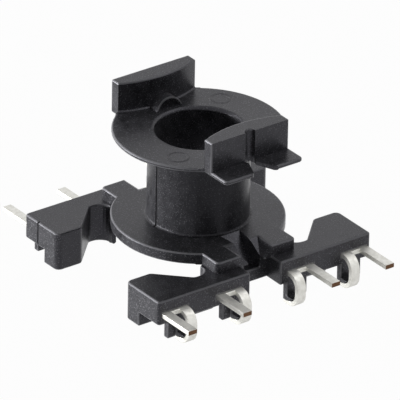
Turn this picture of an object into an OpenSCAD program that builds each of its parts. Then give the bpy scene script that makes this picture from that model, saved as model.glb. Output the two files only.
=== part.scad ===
// Surface-mount coil former for a small round-post ferrite core.
// One plastic moulding carries eight stamped strip terminals, four along each rail.
// The origin lies on the bore's axis, on the board that the terminals stand on. Millimetres.

/* [Winding form] */
// Height of the whole former, from the board to the tops of the lugs
height = 10.8; // [10:0.1:12]
// Diameter of the two flanges
flange_d = 10; // [9.4:0.1:10.4]
// Diameter of the bore that takes the core's round post
bore_d = 5.1; // [4.8:0.05:5.3]
// Wall of the tube that the wire is wound on
tube_wall = 0.4; // [0.3:0.05:0.6]
// Thickness of the upper flange and its wings
top_flange_t = 0.25; // [0.2:0.05:0.5]
// Thickness of the lower flange and its tabs
bottom_flange_t = 0.7; // [0.5:0.05:0.9]
// Height of the lower flange's underside above the board
stand_off = 2.85; // [2.6:0.05:3.2]
// Radius that rounds the mouths of the bore
bore_edge_r = 0.22; // [0.1:0.02:0.3]
// Fillet where the tube meets the flanges
tube_fillet_r = 0.15; // [0.05:0.05:0.3]

/* [Core lugs] */
// Length of a lug along the terminal rows
lug_w = 5.4; // [4.8:0.1:6]
// Distance from the axis to a lug's flat outer face
lug_face = 4.83; // [4.6:0.01:4.9]
// Distance from the axis to the crown of a lug's inner face
lug_crown = 3.58; // [3.4:0.01:3.9]
// Radius of that crowned inner face
lug_crown_r = 6.6; // [5:0.1:10]
// Height of the upper lugs above the upper flange
top_lug_h = 1.83; // [1.2:0.01:2.2]
// Depth of the lower lugs below the lower flange
bottom_lug_h = 1.6; // [1:0.05:1.8]
// Radius of the wire slot in the front lug's face
slot_r = 0.33; // [0.2:0.01:0.45]
// Radius of the half-round key at the back lug's foot
key_r = 0.92; // [0.7:0.02:1.1]
// Height of that key above the flange
key_h = 0.68; // [0.4:0.02:0.8]
// Gap between the key's end and the bore's rounded mouth
key_gap = 0.08; // [0:0.02:0.2]

/* [Wire wings] */
// Distance from the axis to the wings' front edge
wing_reach = 6.25; // [5.8:0.05:6.6]
// Width of the notch between the wings at the lug
notch_in_w = 0.3; // [0.1:0.05:0.6]
// Width of that notch at the wings' front edge
notch_out_w = 1.5; // [1:0.05:2]
// Radius of the wings' and tabs' corners
wing_corner_r = 0.25; // [0.05:0.01:0.3]

/* [Terminal rails] */
// Length of a rail, end to end
rail_len = 14.9; // [14.6:0.1:16]
// Distance from the axis to a rail's outer face
rail_face = 6.5; // [6.3:0.05:6.9]
// Width of a rail between its ears
rail_w = 1.4; // [1.2:0.05:1.6]
// Height of a rail
rail_h = 1.48; // [1.4:0.02:1.6]
// Distance from the axis to an ear's inner end
ear_reach = 3.3; // [3:0.05:3.7]
// Width of an ear's inner end
ear_w = 1.7; // [1.3:0.05:2]
// Thickness of the leg under an ear
leg_t = 1.32; // [1:0.02:1.5]
// Gap between a leg's foot and the board
leg_gap = 0.52; // [0.3:0.02:0.8]
// Width of the neck that joins a rail to the lower flange
neck_w = 5.84; // [5.6:0.02:6]
// Fillet between the neck's sides and the rail's back
neck_fillet_r = 0.75; // [0.4:0.05:0.8]
// Straight length of the neck's sides before that fillet
neck_side = 0.1; // [0.05:0.01:0.15]
// Thickness of the skirt that hangs from the rail's back between an ear and the neck
skirt_t = 0.2; // [0.1:0.05:0.5]
// Step of the neck's face in front of the rail's back
neck_step = 0.1; // [0.05:0.05:0.3]
// Gap between the two halves of a rail
middle_gap = 2.12; // [1.9:0.02:2.3]
// Radius of the rails' outer corners
rail_corner_r = 0.2; // [0.05:0.01:0.3]
// Radius of the ears' inner corners and of the fillets at their roots
ear_corner_r = 0.36; // [0.1:0.02:0.5]

/* [Wire channels] */
// Width of the two tabs on a rail together
tab_w = 5.5; // [5:0.1:5.8]
// Distance from the axis to the tabs' front edge
tab_reach = 5.65; // [5.5:0.05:6]
// Width of the sloping channel at the tube
channel_in_w = 1.3; // [1.2:0.05:1.6]
// Width of the channel's floor at its mouth
channel_w = 1.1; // [1:0.02:1.3]
// Drop of the channel's floor from the tube to its mouth
channel_drop = 1.4; // [1.2:0.05:1.4]
// Distance from the axis to the foot of the channel's slope
channel_foot = 4.6; // [4.5:0.05:5]
// Width that the flared corners add on each side of the channel
flare_w = 0.6; // [0.4:0.05:0.8]
// Length of a flared corner along the channel
flare_len = 1.05; // [0.6:0.05:1.1]
// Drop of a flared corner's slope
flare_drop = 0.65; // [0.5:0.05:0.9]

/* [Terminals] */
// Pitch of the solder leads along a row
pitch = 3.81; // [3.6:0.01:4]
// Width of the stamped strip
strip_w = 0.6; // [0.5:0.02:0.66]
// Thickness of the strip
strip_t = 0.28; // [0.2:0.02:0.32]
// Height of the strip's upper face above the board
strip_top = 2.1; // [2:0.01:2.2]
// Distance from a solder lead to its winding post
post_step = 1.2; // [1.1:0.02:1.3]
// Distance from the axis to the tips of the winding posts
post_reach = 9.05; // [8.5:0.05:10]
// Outer radius of the solder lead's bends
lead_r = 0.85; // [0.75:0.01:0.95]
// Length of the lead's flat tail under the rail
tail_len = 0.5; // [0.3:0.02:0.6]
// Depth to which a terminal is moulded into the rail
root_len = 0.8; // [0.5:0.05:1]
// Length of the terminal's yoke that stands out of the rail
yoke_len = 0.1; // [0.05:0.01:0.2]

/* [Feet] */
// Depth of the feet behind the solder leads
foot_t = 0.4; // [0.3:0.05:0.6]
// Width of the outer foot beside each lead
foot_w = 0.55; // [0.4:0.05:0.6]
// Gap between a foot and the board
foot_gap = 0.35; // [0.3:0.01:0.5]
// Width of the wire slot between the outer foot and the tongue
foot_slot_w = 0.16; // [0.12:0.01:0.25]
// Width by which the tongue is wider than the lead, on each side
tongue_side = 0.07; // [0.05:0.01:0.15]
// Height of the tongue's toe inside the bent lead
toe_h = 0.3; // [0.2:0.02:0.4]
// Clearance between the toe and the bent lead
toe_clearance = 0.03; // [0.02:0.01:0.06]

/* [Hidden] */
plastic = "#2f3035";
tinned = "#d8d5cc";
round_fn = 96;
corner_steps = 6;
// Overshoot of a cut past the face that it opens
past = 0.5;

flange_r = flange_d / 2;
bore_r = bore_d / 2;
tube_r = bore_r + tube_wall;
// Levels above the board
floor_z = stand_off + bottom_flange_t;
top_z = height - top_lug_h;
top_under_z = top_z - top_flange_t;
rail_under_z = stand_off - rail_h;
channel_z = floor_z - channel_drop;
// Places in plan
rail_back = rail_face - rail_w;
ear_x = rail_len / 2 - ear_w;
slant_x = ear_x - (rail_back - ear_reach);
lug_end = lug_crown + lug_crown_r - sqrt(pow(lug_crown_r, 2) - pow(lug_w / 2, 2));
neck_face = rail_back + neck_step;
tongue_w = strip_w + 2 * tongue_side;
// Solder leads right of the middle, counted from the axis
leads = [pitch / 2, 3 * pitch / 2];
yoke_face = rail_face + yoke_len;

// Points of the arc that rounds the corner b between the neighbours a and c; the third number is its radius
function unit(v) = v / norm(v);
function corner(a, b, c) =
    let (p = unit([a.x - b.x, a.y - b.y]), q = unit([c.x - b.x, c.y - b.y]))
    let (half = acos(p * q) / 2, r = b.z)
    let (centre = [b.x, b.y] + unit(p + q) * r / sin(half))
    let (from = [b.x, b.y] + p * r / tan(half) - centre, to = [b.x, b.y] + q * r / tan(half) - centre)
    r == 0 ? [[b.x, b.y]]
           : [for (i = [0:corner_steps])
                let (s = i / corner_steps, turn = 180 - 2 * half)
                centre + (sin((1 - s) * turn) * from + sin(s * turn) * to) / sin(turn)];
function rounded(pts) =
    [for (i = [0:len(pts) - 1])
        each corner(pts[(i + len(pts) - 1) % len(pts)], pts[i], pts[(i + 1) % len(pts)])];

// A solid between two heights
module slab(z0, z1) {
    translate([0, 0, z0])
        linear_extrude(z1 - z0)
            children();
}

// A profile drawn in Y and Z, extruded along X between two places
module along_x(x0, x1) {
    translate([x0, 0, 0])
        rotate([90, 0, 90])
            linear_extrude(x1 - x0)
                children();
}

// A profile drawn in X and Z, extruded along Y between two places
module along_y(y0, y1) {
    translate([0, y1, 0])
        rotate([90, 0, 0])
            linear_extrude(y1 - y0)
                children();
}

module both_x() {
    children();
    mirror([1, 0, 0])
        children();
}

module both_y() {
    children();
    mirror([0, 1, 0])
        children();
}

// The concave or convex rounding of a right-angled corner at the origin, into the first quadrant
module corner_fill(r) {
    difference() {
        square(r);
        translate([r, r])
            circle(r, $fn = round_fn);
    }
}

module winding_profile() {
    difference() {
        union() {
            translate([bore_r, stand_off])
                square([flange_r - bore_r, bottom_flange_t]);
            translate([bore_r, stand_off])
                square([tube_wall, top_z - stand_off]);
            translate([bore_r, top_under_z])
                square([flange_r - bore_r, top_flange_t]);
            translate([tube_r, floor_z])
                corner_fill(tube_fillet_r);
            translate([tube_r, top_under_z])
                mirror([0, 1])
                    corner_fill(tube_fillet_r);
        }
        translate([bore_r, stand_off])
            corner_fill(bore_edge_r);
        translate([bore_r, top_z])
            mirror([0, 1])
                corner_fill(bore_edge_r);
    }
}

// Plan of a lug on the back side: flat outside, crowned towards the core
module lug_plan() {
    intersection() {
        translate([-lug_w / 2, lug_crown])
            square([lug_w, lug_face - lug_crown]);
        translate([0, lug_crown + lug_crown_r])
            circle(lug_crown_r, $fn = 4 * round_fn);
    }
}

// Half-round key between the back lug's foot and the bore
module lug_key() {
    key_end = bore_r + bore_edge_r + key_gap;
    along_y(key_end, lug_end)
        intersection() {
            translate([0, top_z + key_h - key_r])
                circle(key_r, $fn = round_fn);
            translate([-key_r, top_under_z])
                square([2 * key_r, key_h + top_flange_t]);
        }
}

// One wing right of the middle, drawn on the back side
module wing_plan() {
    polygon(rounded([
        [notch_in_w / 2, lug_crown, 0],
        [notch_in_w / 2, lug_face, 0],
        [notch_out_w / 2, wing_reach, wing_corner_r],
        [lug_w / 2, wing_reach, wing_corner_r],
        [lug_w / 2, lug_end, 0]
    ]));
}

// A quarter of a rail with its neck and its ear, right of the middle on the back side
module rail_plan() {
    polygon(rounded([
        [0, lug_crown, 0],
        [lug_w / 2, lug_end, 0],
        [neck_w / 2, rail_back - neck_fillet_r - neck_side, 0],
        [neck_w / 2, rail_back, neck_fillet_r],
        [slant_x, rail_back, ear_corner_r],
        [ear_x, ear_reach, ear_corner_r],
        [rail_len / 2, ear_reach, ear_corner_r],
        [rail_len / 2, rail_face, rail_corner_r],
        [middle_gap / 2, rail_face, 0],
        [middle_gap / 2, neck_face, 0],
        [0, neck_face, 0]
    ]));
}

// The deep walls of that quarter: the leg under the ear and the skirt from the ear's slant to the neck
module deep_plan() {
    intersection() {
        rail_plan();
        union() {
            translate([slant_x, ear_reach])
                square([rail_len / 2 - slant_x, leg_t]);
            translate([lug_w / 2, lug_end])
                square([slant_x + leg_t - lug_w / 2, rail_back + skirt_t - lug_end]);
        }
    }
}

module tab_plan() {
    polygon(rounded([
        [0, tube_r, 0],
        [tab_w / 2, lug_crown, 0],
        [tab_w / 2, tab_reach, wing_corner_r],
        [0, tab_reach, 0]
    ]));
}

// Feet behind one solder lead: a tongue with its toe in the bend, and an outer foot past a wire slot
module lead_feet(x) {
    tongue_end = x + tongue_w / 2;
    foot_x = tongue_end + foot_slot_w;
    foot_y = rail_face - foot_t;
    translate([x - tongue_w / 2, foot_y, strip_t])
        cube([tongue_w, foot_t, rail_under_z - strip_t]);
    translate([foot_x, foot_y, foot_gap])
        cube([foot_w, foot_t, rail_under_z - foot_gap]);
    along_x(x - tongue_w / 2, tongue_end)
        intersection() {
            translate([yoke_face, lead_r])
                circle(lead_r - strip_t - toe_clearance, $fn = round_fn);
            translate([foot_y, strip_t])
                square([lead_r + foot_t, toe_h]);
        }
}

// Side of a cut that slopes from the tabs' top at one place down to a level at another
module slope_side(from, to, level) {
    polygon([
        [from, floor_z],
        [to, level],
        [rail_face, level],
        [rail_face, floor_z + past],
        [from, floor_z + past]
    ]);
}

// Sloping wire channel through the tabs, from the tube's fillet to the rail's middle gap, with flared corners
module channel_cut() {
    channel_start = tube_r + tube_fillet_r;
    flare_start = neck_face - flare_len;
    flare_out = channel_w / 2 + flare_w;
    flare_z = floor_z - flare_drop;
    intersection() {
        along_x(-channel_in_w / 2, channel_in_w / 2)
            slope_side(channel_start, channel_foot, channel_z);
        slab(channel_z, floor_z + past)
            polygon([
                [-channel_in_w / 2, channel_start],
                [channel_in_w / 2, channel_start],
                [channel_w / 2, flare_start],
                [channel_w / 2, rail_face],
                [-channel_w / 2, rail_face],
                [-channel_w / 2, flare_start]
            ]);
    }
    intersection() {
        along_x(-flare_out, flare_out)
            slope_side(flare_start, neck_face, flare_z);
        along_y(flare_start, rail_face)
            polygon([
                [-channel_w / 2, flare_z],
                [channel_w / 2, flare_z],
                [flare_out, floor_z],
                [flare_out, floor_z + past],
                [-flare_out, floor_z + past],
                [-flare_out, floor_z]
            ]);
    }
}

// Plate from which a terminal's two legs branch, its root moulded into the rail
module yoke() {
    translate([-strip_w / 2, rail_face - root_len, strip_top - strip_t])
        cube([post_step + strip_w, root_len + yoke_len, strip_t]);
}

// Section of the solder lead, bent out, down and back under the rail
module lead_section() {
    inner_r = lead_r - strip_t;
    translate([yoke_face, strip_top - lead_r])
        intersection() {
            difference() {
                circle(lead_r, $fn = round_fn);
                circle(inner_r, $fn = round_fn);
            }
            square(lead_r);
        }
    translate([yoke_face + inner_r, lead_r])
        square([strip_t, strip_top - 2 * lead_r]);
    translate([yoke_face, lead_r])
        intersection() {
            difference() {
                circle(lead_r, $fn = round_fn);
                circle(inner_r, $fn = round_fn);
            }
            translate([0, -lead_r])
                square(lead_r);
        }
    translate([yoke_face - tail_len, 0])
        square([tail_len, strip_t]);
}

// A terminal with its solder lead at X = 0 and its winding post on the right, drawn on the back side
module terminal() {
    yoke();
    translate([post_step - strip_w / 2, yoke_face, strip_top - strip_t])
        cube([strip_w, post_reach - yoke_face, strip_t]);
    along_x(-strip_w / 2, strip_w / 2)
        lead_section();
}

// A terminal's place in its row, counted from the left; the left half of each row is mirrored
module place(index, row) {
    from_middle = index - 2.5;
    mirror([0, row == "front" ? 1 : 0, 0])
        mirror([from_middle < 0 ? 1 : 0, 0, 0])
            translate([abs(from_middle) * pitch, 0, 0])
                children();
}

module placed_terminal(index, row) {
    color(tinned)
        place(index, row)
            terminal();
}

module base() {
    both_y()
        both_x() {
            slab(rail_under_z, stand_off)
                rail_plan();
            slab(leg_gap, rail_under_z)
                deep_plan();
            slab(stand_off, floor_z)
                tab_plan();
            for (x = leads)
                lead_feet(x);
        }
    both_y()
        slab(stand_off - bottom_lug_h, stand_off)
            lug_plan();
}

module top() {
    both_y()
        slab(top_under_z, top_z + top_lug_h)
            lug_plan();
    mirror([0, 1, 0])
        slab(top_under_z, top_z)
            both_x()
                wing_plan();
    lug_key();
}

module bobbin() {
    color(plastic)
        difference() {
            union() {
                rotate_extrude($fn = round_fn)
                    winding_profile();
                difference() {
                    union() {
                        base();
                        top();
                    }
                    translate([0, 0, stand_off - bottom_lug_h])
                        cylinder(r = tube_r, h = top_z + top_lug_h, $fn = round_fn);
                }
            }
            both_y()
                channel_cut();
            translate([0, -lug_face, top_under_z - past])
                cylinder(r = slot_r, h = top_flange_t + top_lug_h + 2 * past, $fn = round_fn);
            for (row = ["front", "back"])
                for (index = [1:4])
                    place(index, row)
                        yoke();
        }
}

bobbin();
placed_terminal(1, "front");  // terminal_front_1
placed_terminal(2, "front");  // terminal_front_2
placed_terminal(3, "front");  // terminal_front_3
placed_terminal(4, "front");  // terminal_front_4
placed_terminal(1, "back");  // terminal_back_1
placed_terminal(2, "back");  // terminal_back_2
placed_terminal(3, "back");  // terminal_back_3
placed_terminal(4, "back");  // terminal_back_4
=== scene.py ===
"""Looks of a small surface-mount coil former: one black moulding with eight tinned strip terminals.

The moulding and the terminals are copies of the solids with their edges rounded, as a mould and a
press leave them. Sizes are in metres.
"""

import math

import bmesh
import bpy
from bpy.props import FloatProperty, FloatVectorProperty, IntProperty, PointerProperty
from mathutils import Matrix, Vector
from mathutils.geometry import intersect_point_line


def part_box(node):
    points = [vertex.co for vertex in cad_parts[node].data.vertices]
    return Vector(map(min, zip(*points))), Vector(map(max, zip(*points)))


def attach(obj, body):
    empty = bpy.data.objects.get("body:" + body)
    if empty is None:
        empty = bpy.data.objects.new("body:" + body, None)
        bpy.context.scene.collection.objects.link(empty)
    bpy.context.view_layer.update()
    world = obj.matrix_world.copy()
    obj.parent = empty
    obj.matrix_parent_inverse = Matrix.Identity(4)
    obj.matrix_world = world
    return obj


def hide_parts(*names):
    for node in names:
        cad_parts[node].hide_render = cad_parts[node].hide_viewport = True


bl_info = {
    "name": "Coil former",
    "version": (1, 0, 0),
    "blender": (4, 5, 0),
    "location": "3D View > Sidebar > Coil former",
    "description": "Dresses the solids of a surface-mount coil former and sets up its studio",
    "category": "Object",
}

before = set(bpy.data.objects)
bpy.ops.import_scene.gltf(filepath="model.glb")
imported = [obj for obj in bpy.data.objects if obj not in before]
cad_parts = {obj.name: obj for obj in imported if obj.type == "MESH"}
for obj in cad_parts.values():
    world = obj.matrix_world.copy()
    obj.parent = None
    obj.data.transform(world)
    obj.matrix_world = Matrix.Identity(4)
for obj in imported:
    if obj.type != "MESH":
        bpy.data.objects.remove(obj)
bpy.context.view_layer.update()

MM = 0.001
MOULDING = "bobbin"
TERMINALS = sorted(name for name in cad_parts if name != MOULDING)
# Spacing of the nodes in a shader's layout
COLUMN, ROW = 200, 280
# Sockets of a mix node that take and give colours
MIX_LOW, MIX_HIGH, MIX_RESULT = 6, 7, 2
# Octaves of the fine and of the wide noise, and how strong each octave is beside the last
FINE_DETAIL, WIDE_DETAIL, DETAIL_SHARE = 2.0, 3.0, 0.6
# Range of the noise over which a speck fades in, and ends of the range over which a cloud does
SPECK_FADE = 0.09
CLOUD_START, CLOUD_FULL = 0.3, 0.7
# How strongly specks show on the faces and on the tube, and clouds on the tube; the tube's fewer pale
# specks and clouds are painted shade for the tube between the flanges
FACE_SPECKS, TUBE_SHADE_SPECKS, TUBE_SHADE_CLOUDS = 0.8, 0.5, 0.9
# Specular level of the faces and of the tube, which a slide of the mould leaves duller
FACE_GLOSS, TUBE_GLOSS = 0.44, 0.2
# Share of the paler colour painted on the rounded edges as a highlight
EDGE_HIGHLIGHT = 0.8
# Roughness of the compound where it is clear and where it is cloudy
CLEAR_ROUGHNESS, CLOUDY_ROUGHNESS = 0.28, 0.38
# Strength of the lines round the pins beside the other lines, and depth of a line in grain depths
PIN_LINE, LINE_DEPTH = 0.35, 6.0
# How strongly the grain shows on the compound and on the plating
COMPOUND_BUMP, PLATING_BUMP = 0.7, 0.12
# Share of the duller colour in the plating's patches, and roughness of bright and of dull plating
DULL_SHARE = 0.5
BRIGHT_ROUGHNESS, DULL_ROUGHNESS = 0.46, 0.64
# Distances from a post's tip at which the bare metal starts and is full
BARE_START, BARE_FULL = 0.03 * MM, 0.012 * MM
# Two vertices closer than this are one
WELD = 0.0005 * MM
# Faces that turn less than this lie in one plane
FLAT = math.radians(0.6)
# Edges that turn more than this are rounded
CREASE = math.radians(28)
# Two faces that turn more than this across an edge lie folded on each other
FOLD = math.radians(125)
# Times that the rounding is tried again with more edges left sharp
RETRIES = 2
# An edge near a fold is left sharp if it is within these limits, in radii of the rounding
SHORT_EDGE, NEAR_FOLD = 5, 3
# Name of the faces' value that is one on the rounded edges
EDGE_MARK = "rounded_edge"
# Edges that meet at less than this are steps of one line
SMOOTH_LINE = math.radians(35)
# A smooth line that turns more than this has gone round a corner
ROUND_CORNER = math.radians(100)
# Steps round a pin's mark, along a fillet and across a fillet
RING_STEPS, FILLET_STEPS, FILLET_BENDS = 64, 24, 4
# Share of a fillet's radius by which its back is sunk into what it stands on
SUNK_SHARE = 1 / 8
# Nearest and farthest that the camera sees
NEAR_LIMIT, FAR_LIMIT = 0.01, 10.0


class MouldingSettings(bpy.types.PropertyGroup):
    """Sizes and colours of the moulding."""

    edge_radius: FloatProperty(
        name="Edge radius", description="Rounding of the moulding's edges",
        default=0.09 * MM, min=0.0, precision=6, unit="LENGTH", subtype="DISTANCE")
    edge_segments: IntProperty(
        name="Edge segments", description="Facets across a rounded edge", default=3, min=1, max=4)
    colour: FloatVectorProperty(
        name="Compound", description="Colour of the moulding compound",
        subtype="COLOR", size=3, default=(0.026, 0.026, 0.029), min=0.0, max=1.0)
    cloud_colour: FloatVectorProperty(
        name="Cloud", description="Colour of the compound where it is cloudier",
        subtype="COLOR", size=3, default=(0.058, 0.058, 0.064), min=0.0, max=1.0)
    filler_colour: FloatVectorProperty(
        name="Filler", description="Colour of the filler that shows as fine specks",
        subtype="COLOR", size=3, default=(0.31, 0.31, 0.335), min=0.0, max=1.0)
    joint_colour: FloatVectorProperty(
        name="Joint", description="Colour of the fine lines where the mould's parts meet",
        subtype="COLOR", size=3, default=(0.003, 0.003, 0.0035), min=0.0, max=1.0)
    # The rounded edges are painted paler as a highlight, standing in for the light that they catch.
    edge_highlight_colour: FloatVectorProperty(
        name="Edge", description="Colour of the rounded edges, rubbed paler than the faces",
        subtype="COLOR", size=3, default=(0.3, 0.3, 0.318), min=0.0, max=1.0)
    sheen_tint: FloatVectorProperty(
        name="Sheen", description="Tint of the light that the compound mirrors",
        subtype="COLOR", size=3, default=(0.89, 0.88, 1.0), min=0.0, max=1.0)
    speck_size: FloatProperty(
        name="Speck size", description="Size of the finest specks",
        default=0.075 * MM, min=0.01 * MM, precision=6, unit="LENGTH", subtype="DISTANCE")
    speck_share: FloatProperty(
        name="Speck share", description="How much of the surface the specks take",
        default=0.42, min=0.0, max=1.0, subtype="FACTOR")
    cloud_size: FloatProperty(
        name="Cloud size", description="Size of the soft clouds",
        default=0.5 * MM, min=0.05 * MM, precision=6, unit="LENGTH", subtype="DISTANCE")
    grain_depth: FloatProperty(
        name="Grain depth", description="Depth of the eroded surface grain",
        default=0.012 * MM, min=0.0, precision=6, unit="LENGTH", subtype="DISTANCE")


class MarkSettings(bpy.types.PropertyGroup):
    """Sizes of the marks that the mould leaves."""

    pin_radius: FloatProperty(
        name="Pin radius", description="Radius of the ejector pins' marks on the upper flange",
        default=0.58 * MM, min=0.1 * MM, precision=6, unit="LENGTH", subtype="DISTANCE")
    pin_place: FloatVectorProperty(
        name="Pin place", description="Place of one pin; the other is opposite the axis",
        size=2, default=(3.13 * MM, 2.23 * MM), unit="LENGTH", subtype="XYZ")
    line_width: FloatProperty(
        name="Line width", description="Width of the fine lines round the pins and along the mould's joint",
        default=0.08 * MM, min=0.01 * MM, precision=6, unit="LENGTH", subtype="DISTANCE")
    line_height: FloatProperty(
        name="Line height", description="Height of the lines round the pins above the flange",
        default=0.01 * MM, min=0.0, precision=6, unit="LENGTH", subtype="DISTANCE")
    tube_radius: FloatProperty(
        name="Tube radius", description="Radius of the tube, down whose sides the mould's halves meet",
        default=2.95 * MM, min=0.1 * MM, precision=6, unit="LENGTH", subtype="DISTANCE")
    end_joint: FloatProperty(
        name="End joint", description="From the middle to the mould's joint on the back rail's ends",
        default=5.2 * MM, min=0.1 * MM, precision=6, unit="LENGTH", subtype="DISTANCE")


class FilletSettings(bpy.types.PropertyGroup):
    """Size of the fillets at the upper lugs' feet."""

    radius: FloatProperty(
        name="Radius", description="Fillet between the upper flange and the lugs' crowned faces",
        default=0.13 * MM, min=0.02 * MM, precision=6, unit="LENGTH", subtype="DISTANCE")


class TerminalSettings(bpy.types.PropertyGroup):
    """Sizes and colours of the terminals."""

    edge_radius: FloatProperty(
        name="Edge radius", description="Rounding of the stamped strip's edges",
        default=0.035 * MM, min=0.0, precision=6, unit="LENGTH", subtype="DISTANCE")
    edge_segments: IntProperty(
        name="Edge segments", description="Facets across a rounded edge", default=2, min=1, max=4)
    tin_colour: FloatVectorProperty(
        name="Tin", description="Colour of the tin plating",
        subtype="COLOR", size=3, default=(0.76, 0.755, 0.72), min=0.0, max=1.0)
    dull_colour: FloatVectorProperty(
        name="Dull tin", description="Colour of the plating where it is duller",
        subtype="COLOR", size=3, default=(0.56, 0.55, 0.51), min=0.0, max=1.0)
    copper_colour: FloatVectorProperty(
        name="Copper", description="Colour of the bare metal on the sheared ends",
        subtype="COLOR", size=3, default=(0.13, 0.07, 0.04), min=0.0, max=1.0)
    grain_size: FloatProperty(
        name="Grain size", description="Size of the plating's finest grain",
        default=0.05 * MM, min=0.01 * MM, precision=6, unit="LENGTH", subtype="DISTANCE")
    patch_size: FloatProperty(
        name="Patch size", description="Size of the plating's duller patches",
        default=0.35 * MM, min=0.05 * MM, precision=6, unit="LENGTH", subtype="DISTANCE")
    grain_depth: FloatProperty(
        name="Grain depth", description="Depth of the plating's grain",
        default=0.001 * MM, min=0.0, precision=6, unit="LENGTH", subtype="DISTANCE")


class StageSettings(bpy.types.PropertyGroup):
    """Sizes and colours of the studio."""

    floor_size: FloatProperty(
        name="Floor size", description="Side of the square floor",
        default=2.0, min=0.1, unit="LENGTH", subtype="DISTANCE")
    floor_colour: FloatVectorProperty(
        name="Floor", description="Colour of the floor under the lamps",
        subtype="COLOR", size=3, default=(0.9, 0.9, 0.9), min=0.0, max=1.0)
    backdrop_colour: FloatVectorProperty(
        name="Backdrop", description="Colour of the floor and the backdrop as the camera sees them",
        subtype="COLOR", size=3, default=(1.0, 1.0, 1.0), min=0.0, max=1.0)
    shadow_share: FloatProperty(
        name="Shadow share", description="How much of the floor's shading the camera sees",
        default=0.025, min=0.0, max=1.0, subtype="FACTOR")
    low_light: FloatProperty(
        name="Low light", description="Level of the softbox near the floor, at the back left",
        default=1.15, min=0.0)
    edge_light: FloatProperty(
        name="Edge light", description="Level of the softbox that the left edges mirror",
        default=0.14, min=0.0)
    top_light: FloatProperty(
        name="Top light", description="Level of the softbox over the front right",
        default=0.11, min=0.0)
    fill_light: FloatProperty(
        name="Fill light", description="Level of the even light from all round",
        default=0.02, min=0.0)
    azimuth: FloatProperty(
        name="Azimuth", description="Direction of the camera round the axis",
        default=math.radians(-36.65), unit="ROTATION", subtype="ANGLE")
    elevation: FloatProperty(
        name="Elevation", description="Height of the camera above the floor, as an angle",
        default=math.radians(27.89), unit="ROTATION", subtype="ANGLE")
    roll: FloatProperty(
        name="Roll", description="Turn of the camera about its own line of sight",
        default=math.radians(1.05), unit="ROTATION", subtype="ANGLE")
    distance: FloatProperty(
        name="Distance", description="Distance from the camera to the point that it looks at",
        default=0.587, min=0.05, unit="LENGTH", subtype="DISTANCE")
    view_width: FloatProperty(
        name="View width", description="Width of the picture at that point",
        default=22.73 * MM, min=0.001, precision=5, unit="LENGTH", subtype="DISTANCE")
    aim: FloatVectorProperty(
        name="Aim", description="Point that the camera looks at",
        size=3, default=(-0.15 * MM, -0.38 * MM, 4.55 * MM), unit="LENGTH", subtype="XYZ")


def add_node(tree, kind, place, **values):
    """A node of this kind, with its inputs and its own settings given by name."""
    node = tree.nodes.new(kind)
    node.location = (place[0] * COLUMN, place[1] * ROW)
    for key, value in values.items():
        if key in node.inputs:
            node.inputs[key].default_value = value
        else:
            setattr(node, key, value)
    return node


def spread(tree, place, value, low, high, from_low=0.0, from_high=1.0):
    """A value mapped from one range onto another, held at its ends."""
    node = add_node(tree, "ShaderNodeMapRange", place)
    node.inputs["From Min"].default_value = from_low
    node.inputs["From Max"].default_value = from_high
    node.inputs["To Min"].default_value = low
    node.inputs["To Max"].default_value = high
    tree.links.new(value, node.inputs["Value"])
    return node.outputs["Result"]


def fill_sockets(tree, sockets, values):
    """Gives each socket its value, which may be another socket."""
    for socket, value in zip(sockets, values):
        if isinstance(value, bpy.types.NodeSocket):
            tree.links.new(value, socket)
        else:
            socket.default_value = value


def figure(tree, place, operation, first, second=0.0):
    """One step of arithmetic on two values, each a number or a socket."""
    node = add_node(tree, "ShaderNodeMath", place, operation=operation)
    fill_sockets(tree, node.inputs, (first, second))
    return node.outputs["Value"]


def mix_colour(tree, place, low, high, factor):
    """A colour from low to high by a factor; low may also be a socket."""
    mix = add_node(tree, "ShaderNodeMix", place, data_type="RGBA")
    if not isinstance(low, bpy.types.NodeSocket):
        low = (*low, 1.0)
    fill_sockets(tree, (mix.inputs[MIX_LOW], mix.inputs[MIX_HIGH]), (low, (*high, 1.0)))
    tree.links.new(factor, mix.inputs["Factor"])
    return mix.outputs[MIX_RESULT]


def grain_group():
    """Shader group for a surface made of fine specks over soft, wider patches."""
    found = bpy.data.node_groups.get("speckled grain")
    if found:
        return found
    group = bpy.data.node_groups.new("speckled grain", "ShaderNodeTree")
    for name, default in (("Speck size", 0.06 * MM), ("Patch size", 0.9 * MM), ("Share", 0.5)):
        socket = group.interface.new_socket(name, in_out="INPUT", socket_type="NodeSocketFloat")
        socket.default_value = default
    for name in ("Specks", "Patches", "Height"):
        group.interface.new_socket(name, in_out="OUTPUT", socket_type="NodeSocketFloat")
    enter = add_node(group, "NodeGroupInput", (-4, 0))
    leave = add_node(group, "NodeGroupOutput", (4, 0))
    place = add_node(group, "ShaderNodeTexCoord", (-4, 2))
    link = group.links.new

    def noise(size_name, row, detail):
        """Noise whose cells have the size of that input."""
        per_metre = figure(group, (-3, row), "DIVIDE", 1.0, enter.outputs[size_name])
        cells = add_node(group, "ShaderNodeTexNoise", (-2, row), Detail=detail, Roughness=DETAIL_SHARE)
        link(place.outputs["Object"], cells.inputs["Vector"])
        link(per_metre, cells.inputs["Scale"])
        return cells.outputs["Fac"]

    def soft_step(value, row, start, full):
        """Nothing below the start, one from full on, smooth between; each may be a socket."""
        step = add_node(group, "ShaderNodeMapRange", (0, row), interpolation_type="SMOOTHSTEP")
        ends = (step.inputs["Value"], step.inputs["From Min"], step.inputs["From Max"])
        fill_sockets(group, ends, (value, start, full))
        return step.outputs["Result"]

    fine = noise("Speck size", 1, FINE_DETAIL)
    wide = noise("Patch size", -1, WIDE_DETAIL)
    start = figure(group, (-1, 2), "SUBTRACT", 1.0, enter.outputs["Share"])
    full = figure(group, (-1, 3), "ADD", start, SPECK_FADE)
    link(soft_step(fine, 1, start, full), leave.inputs["Specks"])
    link(soft_step(wide, -1, CLOUD_START, CLOUD_FULL), leave.inputs["Patches"])
    link(fine, leave.inputs["Height"])
    return group


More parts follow.
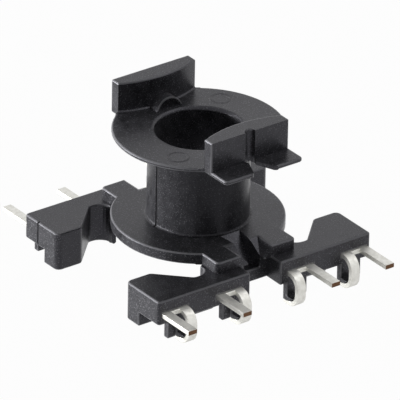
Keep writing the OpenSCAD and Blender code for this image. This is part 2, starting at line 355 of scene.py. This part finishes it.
def new_material(name, **sockets):
    """A material with one Principled shader, its plain values set on the shader's own sockets."""
    material = bpy.data.materials.new(name)
    material.use_nodes = True
    tree = material.node_tree
    shader = tree.nodes["Principled BSDF"]
    shader.location = (2 * COLUMN, 0)
    tree.nodes["Material Output"].location = (4 * COLUMN, 0)
    for key, value in sockets.items():
        shader.inputs[key.replace("_", " ")].default_value = value
    return material, tree, shader


def place_grain(tree, speck_size, patch_size):
    """The speckled grain, placed in a material with its own sizes."""
    node = add_node(tree, "ShaderNodeGroup", (-4, 0), node_tree=grain_group())
    node.inputs["Speck size"].default_value = speck_size
    node.inputs["Patch size"].default_value = patch_size
    return node


def add_bump(tree, shader, height, strength, depth):
    """Lets a height shape the shader's surface to this depth."""
    bump = add_node(tree, "ShaderNodeBump", (-1, -2), Strength=strength, Distance=depth)
    tree.links.new(height, bump.inputs["Height"])
    tree.links.new(bump.outputs["Normal"], shader.inputs["Normal"])


def line_mask(tree, place, value, middle, width):
    """One where a value is within half the width of its middle, falling to nothing at the width."""
    column, row = place
    off = figure(tree, (column, row), "SUBTRACT", value, middle)
    size = figure(tree, (column + 1, row), "ABSOLUTE", off)
    return spread(tree, (column + 2, row), size, 1.0, 0.0, width / 2, width)


def upper_flange_level():
    """Height of the upper flange's top: the moulding's highest level beside the bore, clear of the lugs."""
    low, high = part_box(MOULDING)
    clear = (high.y - low.y) / 8
    corners = [vert.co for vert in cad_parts[MOULDING].data.vertices]
    return max(corner.z for corner in corners if abs(corner.y) < clear < abs(corner.x))


def pin_centre(marks, side, level):
    """Place of the pin on one side of the axis, at this level."""
    return Vector((side * marks.pin_place[0], side * marks.pin_place[1], level))


def joint_lines(tree, marks):
    """Masks of the fine lines where the mould's parts and its pins meet, and of the tube's outside."""
    place = add_node(tree, "ShaderNodeTexCoord", (-12, 9))
    split = add_node(tree, "ShaderNodeSeparateXYZ", (-11, 9))
    flat = add_node(tree, "ShaderNodeCombineXYZ", (-10, 11))
    radius = add_node(tree, "ShaderNodeVectorMath", (-9, 11), operation="LENGTH")
    link = tree.links.new
    link(place.outputs["Object"], split.inputs["Vector"])
    link(split.outputs["X"], flat.inputs["X"])
    link(split.outputs["Y"], flat.inputs["Y"])
    link(flat.outputs["Vector"], radius.inputs[0])
    fine = marks.line_width
    wide = 2 * fine
    near_tube = line_mask(tree, (-8, 11), radius.outputs["Value"], marks.tube_radius, wide)
    down_tube = line_mask(tree, (-8, 10), split.outputs["Y"], 0.0, fine)
    along = figure(tree, (-10, 9), "ABSOLUTE", split.outputs["X"])
    rail_end = max(corner.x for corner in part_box(MOULDING))
    at_end = line_mask(tree, (-8, 9), along, rail_end, wide)
    up_end = line_mask(tree, (-8, 8), split.outputs["Y"], marks.end_joint, fine)
    on_flange = line_mask(tree, (-8, 7), split.outputs["Z"], upper_flange_level(), wide)
    below_flange = figure(tree, (-5, 12), "SUBTRACT", 1.0, on_flange)
    on_tube = figure(tree, (-4, 12), "MULTIPLY", near_tube, below_flange)
    tube_line = figure(tree, (-5, 11), "MULTIPLY", on_tube, down_tube)
    end_line = figure(tree, (-5, 9), "MULTIPLY", at_end, up_end)
    lines = figure(tree, (-4, 10), "MAXIMUM", tube_line, end_line)
    for row, side in ((6, 1), (5, -1)):
        apart = add_node(tree, "ShaderNodeVectorMath", (-9, row), operation="DISTANCE")
        link(flat.outputs["Vector"], apart.inputs[0])
        apart.inputs[1].default_value = pin_centre(marks, side, 0.0)
        ring = line_mask(tree, (-8, row), apart.outputs["Value"], marks.pin_radius, fine)
        faint = figure(tree, (-5, row), "MULTIPLY", ring, PIN_LINE)
        pin_line = figure(tree, (-4, row), "MULTIPLY", faint, on_flange)
        lines = figure(tree, (-3, row), "MAXIMUM", lines, pin_line)
    return lines, on_tube


def moulding_material(settings, marks):
    """Black filled moulding compound: semi-matt, finely specked, eroded by the mould's grain; its rounded
    edges take a painted highlight and its tube a painted shade.
    """
    found = bpy.data.materials.get("filled moulding compound")
    if found:
        return found
    material, tree, shader = new_material(
        "filled moulding compound", Specular_Tint=(*settings.sheen_tint, 1.0))
    link = tree.links.new
    grain = place_grain(tree, settings.speck_size, settings.cloud_size)
    grain.inputs["Share"].default_value = settings.speck_share
    joints, tube = joint_lines(tree, marks)
    # Painted shade: the tube takes fewer clouds and fewer pale specks, so it reads darker than the faces.
    clear = spread(tree, (-5, 2), tube, 1.0, TUBE_SHADE_CLOUDS)
    clouds = figure(tree, (-4, 3), "MULTIPLY", grain.outputs["Patches"], clear)
    cloudy = mix_colour(tree, (-3, 2), settings.colour, settings.cloud_colour, clouds)
    share = spread(tree, (-4, 1), tube, FACE_SPECKS, TUBE_SHADE_SPECKS)
    specks = figure(tree, (-3, 1), "MULTIPLY", grain.outputs["Specks"], share)
    specked = mix_colour(tree, (-2, 1), cloudy, settings.filler_colour, specks)
    # Painted highlight: the rounded edges are mixed towards a paler colour.
    edge = add_node(tree, "ShaderNodeAttribute", (-4, 2), attribute_name=EDGE_MARK)
    highlight_share = figure(tree, (-2, 2), "MULTIPLY", edge.outputs["Fac"], EDGE_HIGHLIGHT)
    highlighted = mix_colour(tree, (-1, 2), specked, settings.edge_highlight_colour, highlight_share)
    colour = mix_colour(tree, (-1, 1), highlighted, settings.joint_colour, joints)
    link(colour, shader.inputs["Base Color"])
    gloss = spread(tree, (-2, -1), tube, FACE_GLOSS, TUBE_GLOSS)
    link(gloss, shader.inputs["Specular IOR Level"])
    shine = spread(tree, (-2, 0), grain.outputs["Patches"], CLEAR_ROUGHNESS, CLOUDY_ROUGHNESS)
    link(figure(tree, (-1, 0), "MAXIMUM", shine, joints), shader.inputs["Roughness"])
    groove = figure(tree, (-3, -2), "MULTIPLY", joints, LINE_DEPTH)
    height = figure(tree, (-2, -2), "SUBTRACT", grain.outputs["Height"], groove)
    add_bump(tree, shader, height, COMPOUND_BUMP, settings.grain_depth)
    return material


def terminal_material(settings):
    """Tinned copper-alloy strip, bright with duller patches, bare and brown on the posts' sheared ends."""
    found = bpy.data.materials.get("tinned strip")
    if found:
        return found
    material, tree, shader = new_material("tinned strip", Metallic=1.0)
    link = tree.links.new
    grain = place_grain(tree, settings.grain_size, settings.patch_size)
    patches = grain.outputs["Patches"]
    dull = spread(tree, (-3, 1), patches, 0.0, DULL_SHARE)
    plating = mix_colour(tree, (-2, 1), settings.tin_colour, settings.dull_colour, dull)
    place = add_node(tree, "ShaderNodeTexCoord", (-5, 3))
    split = add_node(tree, "ShaderNodeSeparateXYZ", (-4, 3))
    link(place.outputs["Object"], split.inputs["Vector"])
    reach = figure(tree, (-3, 3), "ABSOLUTE", split.outputs["Y"])
    tip = max(abs(corner.y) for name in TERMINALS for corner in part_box(name))
    cut = spread(tree, (-2, 3), reach, 0.0, 1.0, tip - BARE_START, tip - BARE_FULL)
    colour = mix_colour(tree, (-1, 1), plating, settings.copper_colour, cut)
    link(colour, shader.inputs["Base Color"])
    shine = spread(tree, (-1, 0), patches, BRIGHT_ROUGHNESS, DULL_ROUGHNESS)
    link(shine, shader.inputs["Roughness"])
    add_bump(tree, shader, grain.outputs["Height"], PLATING_BUMP, settings.grain_depth)
    return material


def dress(mesh_object, material):
    """Gives a piece its finish and lets it ride on the part."""
    mesh_object.data.materials.clear()
    mesh_object.data.materials.append(material)
    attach(mesh_object, "root")


def link_mesh(name, mesh):
    """An object for this mesh, in the scene."""
    mesh_object = bpy.data.objects.new(name, mesh)
    bpy.context.scene.collection.objects.link(mesh_object)
    return mesh_object


def turn_across(edge, true_normal):
    """Largest angle between the true normals of an edge's two faces, at either end."""
    turns = []
    for vert in edge.verts:
        loops = [loop for face in edge.link_faces for loop in face.loops if loop.vert == vert]
        normals = [loop[true_normal] for loop in loops]
        turns.append(normals[0].angle(normals[-1], 0.0))
    return max(turns)


def gap_between(point, edge):
    """Distance from a point to the nearest point of an edge."""
    start, end = (vert.co for vert in edge.verts)
    share = intersect_point_line(point, start, end)[1]
    share = min(max(share, 0.0), 1.0)
    return (start.lerp(end, share) - point).length


def runs_on(edge, other):
    """Whether two edges that meet are steps of one smooth line."""
    shared = (set(edge.verts) & set(other.verts)).pop()
    turn = (edge.other_vert(shared).co - shared.co).angle(other.other_vert(shared).co - shared.co, 0.0)
    return math.pi - turn < SMOOTH_LINE


def line_through(edge, crease):
    """The edge and those that run on from it either way as one smooth line, as far as round a corner."""
    line = {edge}
    for vert in edge.verts:
        heading = vert.co - edge.other_vert(vert).co
        step, at = edge, vert
        while step:
            fresh = [other for other in at.link_edges if other[crease] and other not in line]
            onward = [other for other in fresh if runs_on(step, other)]
            step = onward[0] if onward else None
            if step:
                ahead = step.other_vert(at)
                if heading.angle(ahead.co - at.co, 0.0) > ROUND_CORNER:
                    break
                line.add(step)
                at = ahead
    return line


def room_beside(edge, crease):
    """Room that an edge shares with the next rounded one, or twice the room up to a plain edge."""
    room = []
    middle = (edge.verts[0].co + edge.verts[1].co) / 2
    ends = {other for vert in edge.verts for other in vert.link_edges if other != edge}
    line = line_through(edge, crease)
    for other in ends:
        if not other[crease] or not runs_on(edge, other):
            room.append(other.calc_length())
    beside = {other for face in edge.link_faces for other in face.edges} - line - ends
    for other in beside:
        gap = min(gap_between(point, other) for point in (middle, edge.verts[0].co, edge.verts[1].co))
        room.append(gap if other[crease] else 2 * gap)
    return min(room)


def solid_copy(node, name):
    """A copy of a solid's mesh that keeps the solid's own normals under a plain name."""
    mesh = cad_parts[node].data.copy()
    mesh.name = name
    if not mesh.polygons:
        raise RuntimeError(f"the solid {node} has no faces")
    normals = mesh.attributes.new("true_normal", "FLOAT_VECTOR", "CORNER")
    normals.data.foreach_set("vector", [value for corner in mesh.corner_normals for value in corner.vector])
    if "custom_normal" in mesh.attributes:
        mesh.attributes.remove(mesh.attributes["custom_normal"])
    return mesh


def is_short_near(edge, place, radius):
    """Whether an edge is short beside the rounding and lies near a place."""
    return edge.calc_length() < SHORT_EDGE * radius and gap_between(place, edge) < NEAR_FOLD * radius


def rounded_build(mesh, radius, segments, sharp):
    """The mesh with its outer edges rounded where there is room, and the places where it folds over.

    Short edges near the places in sharp aren't rounded.
    """
    build = bmesh.new()
    build.from_mesh(mesh)
    bmesh.ops.remove_doubles(build, verts=build.verts, dist=WELD)
    true_normal = build.loops.layers.float_vector["true_normal"]
    crease = build.edges.layers.int.new("outer crease")
    mark = build.faces.layers.float.new(EDGE_MARK)
    for face in build.faces:
        face.smooth = any(loop[true_normal].angle(face.normal, 0.0) > FLAT for loop in face.loops)
    for edge in build.edges:
        edge.smooth = turn_across(edge, true_normal) < CREASE
        edge[crease] = int(edge.is_convex and not edge.smooth)
    bmesh.ops.dissolve_limit(build, angle_limit=FLAT, verts=build.verts, edges=build.edges)
    outer = [edge for edge in build.edges if edge[crease]]
    roomy = [edge for edge in outer if room_beside(edge, crease) > 2 * radius]
    kept = [edge for edge in roomy if not any(is_short_near(edge, place, radius) for place in sharp)]
    bmesh.ops.triangulate(build, faces=[face for face in build.faces if len(face.verts) > 4])
    rounded = bmesh.ops.bevel(
        build, geom=kept, offset=radius, offset_type="OFFSET", segments=segments, profile=0.5,
        affect="EDGES")
    for face in rounded["faces"]:
        face.smooth = False
        face[mark] = 1.0
    bmesh.ops.dissolve_degenerate(build, dist=WELD, edges=build.edges)
    build.normal_update()
    folds = [edge.verts[0].co.copy() for edge in build.edges if edge.calc_face_angle(0.0) > FOLD]
    return build, folds


def rounded_piece(node, name, radius, segments):
    """A piece in place of a solid, its outer edges rounded where that folds little or nothing over."""
    mesh = solid_copy(node, name)
    sharp = []
    build, folds = rounded_build(mesh, radius, segments, sharp)
    for _ in range(RETRIES):
        if folds:
            build.free()
            sharp.extend(folds)
            build, folds = rounded_build(mesh, radius, segments, sharp)
    build.to_mesh(mesh)
    build.free()
    mesh.attributes.remove(mesh.attributes["true_normal"])
    piece = link_mesh(name, mesh)
    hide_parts(node)
    return piece


class FORMER_OT_moulding(bpy.types.Operator):
    """Make the moulding with its rounded edges"""

    bl_idname = "former.moulding"
    bl_label = "Moulding"

    def execute(self, context):
        settings = context.scene.former_moulding
        piece = rounded_piece(MOULDING, "moulding", settings.edge_radius, settings.edge_segments)
        dress(piece, moulding_material(settings, context.scene.former_marks))
        return {"FINISHED"}


def swept_mesh(name, sections, closed):
    """A solid through these loops of points in turn, closed into a ring or capped at both ends."""
    build = bmesh.new()
    loops = [[build.verts.new(point) for point in section] for section in sections]
    pairs = list(zip(loops, loops[1:]))
    if closed:
        pairs.append((loops[-1], loops[0]))
    else:
        build.faces.new(loops[0])
        build.faces.new(loops[-1])
    for first, second in pairs:
        for i in range(len(first)):
            build.faces.new((first[i - 1], first[i], second[i], second[i - 1]))
    bmesh.ops.recalc_face_normals(build, faces=build.faces)
    mesh = bpy.data.meshes.new(name)
    build.to_mesh(mesh)
    build.free()
    return mesh


def ring_mesh(name, centre, radius, width, height):
    """A low ridge round a circle, with sloping sides, its base sunk into the face that it stands on."""
    inner, outer = radius - width / 2, radius + width / 2
    profile = ((inner, 0.0), (radius, height), (outer, 0.0), (outer, -height), (inner, -height))
    sections = []
    for i in range(RING_STEPS):
        turn = 2 * math.pi * i / RING_STEPS
        ray = Vector((math.cos(turn), math.sin(turn), 0.0))
        sections.append([centre + ray * out + Vector((0.0, 0.0, up)) for out, up in profile])
    return swept_mesh(name, sections, True)


def lug_arc():
    """Half width, crown and radius of the upper lugs' crowned inner faces, measured on the solid."""
    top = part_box(MOULDING)[1].z
    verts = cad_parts[MOULDING].data.vertices
    corners = [vert.co for vert in verts if top - vert.co.z < WELD]
    half = max(corner.x for corner in corners)
    crown = min(abs(corner.y) for corner in corners)
    ends = min(abs(corner.y) for corner in corners if half - corner.x < WELD)
    rise = ends - crown
    return half, crown, (half ** 2 + rise ** 2) / (2 * rise)


def fillet_mesh(name, side, radius, level):
    """Fillet along the foot of one lug's crowned face, its back sunk into the lug and the flange."""
    half, crown, arc = lug_arc()
    centre = Vector((0.0, side * (crown + arc), level))
    reach = math.asin(half / arc)
    sunk = SUNK_SHARE * radius
    profile = [(-sunk, -sunk), (-sunk, radius)]
    for i in range(FILLET_BENDS + 1):
        bend = math.pi / 2 * i / FILLET_BENDS
        profile.append((radius - radius * math.cos(bend), radius - radius * math.sin(bend)))
    profile.append((radius, -sunk))
    sections = []
    for i in range(FILLET_STEPS + 1):
        turn = reach * (2 * i / FILLET_STEPS - 1)
        ray = Vector((math.sin(turn), -side * math.cos(turn), 0.0))
        sections.append([centre + ray * (arc + out) + Vector((0.0, 0.0, up)) for out, up in profile])
    return swept_mesh(name, sections, False)


class FORMER_OT_mould_marks(bpy.types.Operator):
    """Make the marks that the ejector pins leave on the upper flange"""

    bl_idname = "former.mould_marks"
    bl_label = "Mould marks"

    def execute(self, context):
        settings = context.scene.former_marks
        material = moulding_material(context.scene.former_moulding, settings)
        flange_top = upper_flange_level()
        for side, word in ((1, "right"), (-1, "left")):
            centre = pin_centre(settings, side, flange_top)
            mesh = ring_mesh(
                f"pin mark {word}", centre, settings.pin_radius, settings.line_width, settings.line_height)
            dress(link_mesh(f"pin_mark_{word}", mesh), material)
        return {"FINISHED"}


class FORMER_OT_lug_fillets(bpy.types.Operator):
    """Make the fillets at the feet of the upper lugs"""

    bl_idname = "former.lug_fillets"
    bl_label = "Lug fillets"

    def execute(self, context):
        scene = context.scene
        material = moulding_material(scene.former_moulding, scene.former_marks)
        for side, word in ((1, "back"), (-1, "front")):
            mesh = fillet_mesh(
                f"lug fillet {word}", side, scene.former_fillets.radius, upper_flange_level())
            dress(link_mesh(f"lug_fillet_{word}", mesh), material)
        return {"FINISHED"}


class FORMER_OT_terminals(bpy.types.Operator):
    """Make the eight strip terminals"""

    bl_idname = "former.terminals"
    bl_label = "Terminals"

    def execute(self, context):
        settings = context.scene.former_terminals
        material = terminal_material(settings)
        for node in TERMINALS:
            piece = rounded_piece(node, f"strip_{node}", settings.edge_radius, settings.edge_segments)
            dress(piece, material)
        return {"FINISHED"}


def seen_factor(tree, share):
    """A share for rays from the camera, from gloss and through glass; nothing for the rest."""
    path = add_node(tree, "ShaderNodeLightPath", (-4, 2))
    camera, gloss = path.outputs["Is Camera Ray"], path.outputs["Is Glossy Ray"]
    seen = figure(tree, (-3, 2), "MAXIMUM", camera, gloss)
    seen = figure(tree, (-2, 2), "MAXIMUM", seen, path.outputs["Is Transmission Ray"])
    return figure(tree, (-1, 2), "MULTIPLY", seen, share)


def floor_material(settings):
    """Pale floor that the camera sees as the white of the backdrop, with a share of its own shading."""
    material = bpy.data.materials.new("studio floor")
    material.use_nodes = True
    tree = material.node_tree
    tree.nodes.clear()
    link = tree.links.new
    paint = add_node(tree, "ShaderNodeBsdfDiffuse", (-1, 0), Color=(*settings.floor_colour, 1.0))
    white = add_node(tree, "ShaderNodeEmission", (-1, -1), Color=(*settings.backdrop_colour, 1.0))
    mix = add_node(tree, "ShaderNodeMixShader", (0, 0))
    leave = add_node(tree, "ShaderNodeOutputMaterial", (1, 0))
    link(seen_factor(tree, 1.0 - settings.shadow_share), mix.inputs["Fac"])
    link(paint.outputs["BSDF"], mix.inputs[1])
    link(white.outputs["Emission"], mix.inputs[2])
    link(mix.outputs["Shader"], leave.inputs["Surface"])
    return material


def studio_world(settings):
    """White backdrop for the camera and for reflections, and a low even light for the rest."""
    world = bpy.data.worlds.new("studio")
    bpy.context.scene.world = world
    world.use_nodes = True
    tree = world.node_tree
    tree.nodes.clear()
    link = tree.links.new
    even = (1.0, 1.0, 1.0, 1.0)
    fill = add_node(tree, "ShaderNodeBackground", (-1, 0), Color=even, Strength=settings.fill_light)
    white = add_node(tree, "ShaderNodeBackground", (-1, -1), Color=(*settings.backdrop_colour, 1.0))
    mix = add_node(tree, "ShaderNodeMixShader", (0, 0))
    leave = add_node(tree, "ShaderNodeOutputWorld", (1, 0))
    link(seen_factor(tree, 1.0), mix.inputs["Fac"])
    link(fill.outputs["Background"], mix.inputs[1])
    link(white.outputs["Background"], mix.inputs[2])
    link(mix.outputs["Shader"], leave.inputs["Surface"])


def softbox(name, towards, distance, size, level):
    """A lamp in this direction from the part, which lights a white card there to this level."""
    lamp = bpy.data.lights.new(name, "AREA")
    lamp.shape = "RECTANGLE"
    lamp.size, lamp.size_y = size
    lamp.energy = level * (math.pi * distance) ** 2
    lamp_object = bpy.data.objects.new(name, lamp)
    bpy.context.scene.collection.objects.link(lamp_object)
    direction = Vector(towards).normalized()
    lamp_object.location = direction * distance
    lamp_object.rotation_euler = direction.to_track_quat("Z", "Y").to_euler()


def studio_camera(settings):
    """Camera at the picture's angle, with the picture's width at the point that it looks at."""
    azimuth, elevation, roll = settings.azimuth, settings.elevation, settings.roll
    flat = math.cos(elevation)
    back = Vector((math.sin(azimuth) * flat, -math.cos(azimuth) * flat, math.sin(elevation)))
    level = Vector((math.cos(azimuth), math.sin(azimuth), 0.0))
    upright = back.cross(level)
    right = level * math.cos(roll) + upright * math.sin(roll)
    up = upright * math.cos(roll) - level * math.sin(roll)
    camera = bpy.data.cameras.new("studio camera")
    camera.lens = camera.sensor_width * settings.distance / settings.view_width
    camera.clip_start = NEAR_LIMIT
    camera.clip_end = FAR_LIMIT
    camera_object = bpy.data.objects.new("studio camera", camera)
    bpy.context.scene.collection.objects.link(camera_object)
    turn = Matrix((right, up, back)).transposed().to_4x4()
    camera_object.matrix_world = Matrix.Translation(Vector(settings.aim) + back * settings.distance) @ turn
    bpy.context.scene.camera = camera_object


class FORMER_OT_stage(bpy.types.Operator):
    """Set up the floor, the lamps and the camera"""

    bl_idname = "former.stage"
    bl_label = "Stage"

    def execute(self, context):
        settings = context.scene.former_stage
        half = settings.floor_size / 2
        mesh = bpy.data.meshes.new("floor")
        corners = [(-half, -half, 0), (half, -half, 0), (half, half, 0), (-half, half, 0)]
        mesh.from_pydata(corners, [], [(0, 1, 2, 3)])
        floor = link_mesh("floor", mesh)
        mesh.materials.append(floor_material(settings))
        studio_world(settings)
        softbox("low softbox", towards=(-0.95, 0.8, 0.06), distance=0.4, size=(0.3, 0.05),
                level=settings.low_light)
        softbox("edge softbox", towards=(-0.45, 0.71, 0.51), distance=0.5, size=(0.1, 0.1),
                level=settings.edge_light)
        softbox("top softbox", towards=(0.5, -0.3, 0.8), distance=0.5, size=(0.2, 0.2),
                level=settings.top_light)
        studio_camera(settings)
        context.scene.view_settings.view_transform = "Standard"
        return {"FINISHED"}


class FORMER_PT_panel(bpy.types.Panel):
    """Lists the pieces of the coil former and their settings"""

    bl_idname = "FORMER_PT_panel"
    bl_label = "Coil former"
    bl_space_type = "VIEW_3D"
    bl_region_type = "UI"
    bl_category = "Coil former"

    def draw(self, context):
        scene = context.scene
        for operator, settings in (
                (FORMER_OT_moulding, scene.former_moulding),
                (FORMER_OT_mould_marks, scene.former_marks),
                (FORMER_OT_lug_fillets, scene.former_fillets),
                (FORMER_OT_terminals, scene.former_terminals),
                (FORMER_OT_stage, scene.former_stage)):
            box = self.layout.box()
            box.operator(operator.bl_idname)
            for name in settings.__annotations__:
                box.prop(settings, name)


SETTINGS = {
    "former_moulding": MouldingSettings,
    "former_marks": MarkSettings,
    "former_fillets": FilletSettings,
    "former_terminals": TerminalSettings,
    "former_stage": StageSettings,
}
CLASSES = (
    *SETTINGS.values(),
    FORMER_OT_moulding,
    FORMER_OT_mould_marks,
    FORMER_OT_lug_fillets,
    FORMER_OT_terminals,
    FORMER_OT_stage,
    FORMER_PT_panel,
)


def register():
    """Makes the operators, the panel and their settings known."""
    for cls in CLASSES:
        bpy.utils.register_class(cls)
    for name, cls in SETTINGS.items():
        setattr(bpy.types.Scene, name, PointerProperty(type=cls))


def unregister():
    """Takes them away again."""
    for name in SETTINGS:
        delattr(bpy.types.Scene, name)
    for cls in reversed(CLASSES):
        bpy.utils.unregister_class(cls)


def main():
    """Builds the pieces and the stage in order."""
    register()
    bpy.ops.former.moulding()
    bpy.ops.former.mould_marks()
    bpy.ops.former.lug_fillets()
    bpy.ops.former.terminals()
    bpy.ops.former.stage()


if __name__ == "__main__":
    main()
